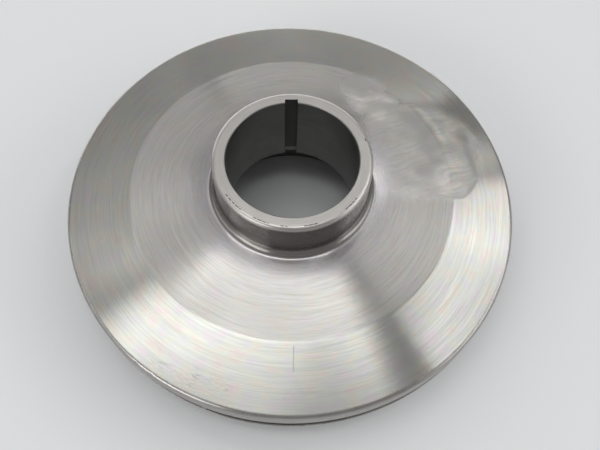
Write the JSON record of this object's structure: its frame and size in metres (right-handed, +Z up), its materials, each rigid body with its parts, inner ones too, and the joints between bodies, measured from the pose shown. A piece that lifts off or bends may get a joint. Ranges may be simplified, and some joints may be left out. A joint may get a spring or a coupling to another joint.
{
  "type": "closed pump impeller",
  "caption": "Closed centrifugal impeller of turned stainless steel with a keyed hub, backward curved vanes between two shrouds and a wear ring round its suction eye.",
  "frame": {"origin": "on the surface that the eye face rests on, below the middle of the bore", "axes": "+Z up along the shaft axis from the eye to the hub, +Y towards the keyway"},
  "size_m": [0.34, 0.34, 0.1064],
  "materials": {
    "turned_steel": "lathe turned stainless steel with concentric tool lines",
    "ring_steel": "finely turned stainless steel",
    "vane_steel": "milled stainless steel, duller inside the passages"
  },
  "bodies": {
    "root": {"back_shroud_with_hub": "turned_steel", "front_shroud": "turned_steel", "eye_wear_ring": "ring_steel", "vane_1": "vane_steel", "vane_2": "vane_steel", "vane_3": "vane_steel", "vane_4": "vane_steel", "vane_5": "vane_steel", "vane_6": "vane_steel", "vane_7": "vane_steel"}
  },
  "joints": []
}
